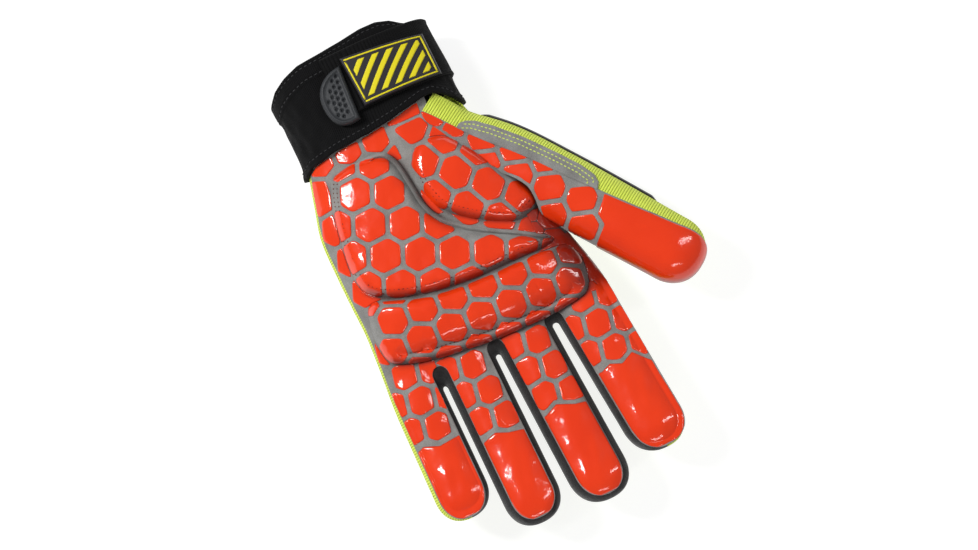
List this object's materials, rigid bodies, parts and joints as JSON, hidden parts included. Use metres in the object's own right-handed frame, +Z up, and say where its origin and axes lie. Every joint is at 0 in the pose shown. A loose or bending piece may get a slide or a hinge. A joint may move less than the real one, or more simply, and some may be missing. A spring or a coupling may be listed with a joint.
{
  "type": "impact glove",
  "caption": "Left-hand impact work glove with a raised hexagon grip print on the palm, padded overlays, hi-vis stretch back, rubber guards and a strap cuff.",
  "frame": {"origin": "on the surface that the glove lies on, under the middle of its box", "axes": "+Z up, the way the palm faces; -Y along the fingers; +X towards the thumb"},
  "size_m": [0.167, 0.247, 0.0473],
  "materials": {
    "printed_suede": "glossy",
    "grey_suede": "matte",
    "hivis_knit": "matte",
    "charcoal_knit": "matte",
    "cuff_knit": "matte",
    "strap_web": "matte",
    "tab_rubber": "satin",
    "guard_rubber": "satin"
  },
  "bodies": {
    "root": {"palm_panel": "printed_suede", "thumb_front": "printed_suede", "heel_pad": "printed_suede", "thenar_pad": "printed_suede", "knuckle_pad": "printed_suede", "thumb_patch": "grey_suede", "back_panel": "hivis_knit", "thumb_back": "hivis_knit", "fourchette_ring_little": "charcoal_knit", "fourchette_middle_ring": "charcoal_knit", "fourchette_index_middle": "charcoal_knit", "cuff": "cuff_knit", "cuff_strap": "strap_web", "strap_tab": "tab_rubber", "strap_badge": "tab_rubber", "guard_index": "guard_rubber", "guard_middle": "guard_rubber", "guard_ring": "guard_rubber", "guard_little": "guard_rubber", "guard_thumb": "guard_rubber", "guard_knuckles": "guard_rubber", "guard_hand": "guard_rubber"}
  },
  "joints": []
}
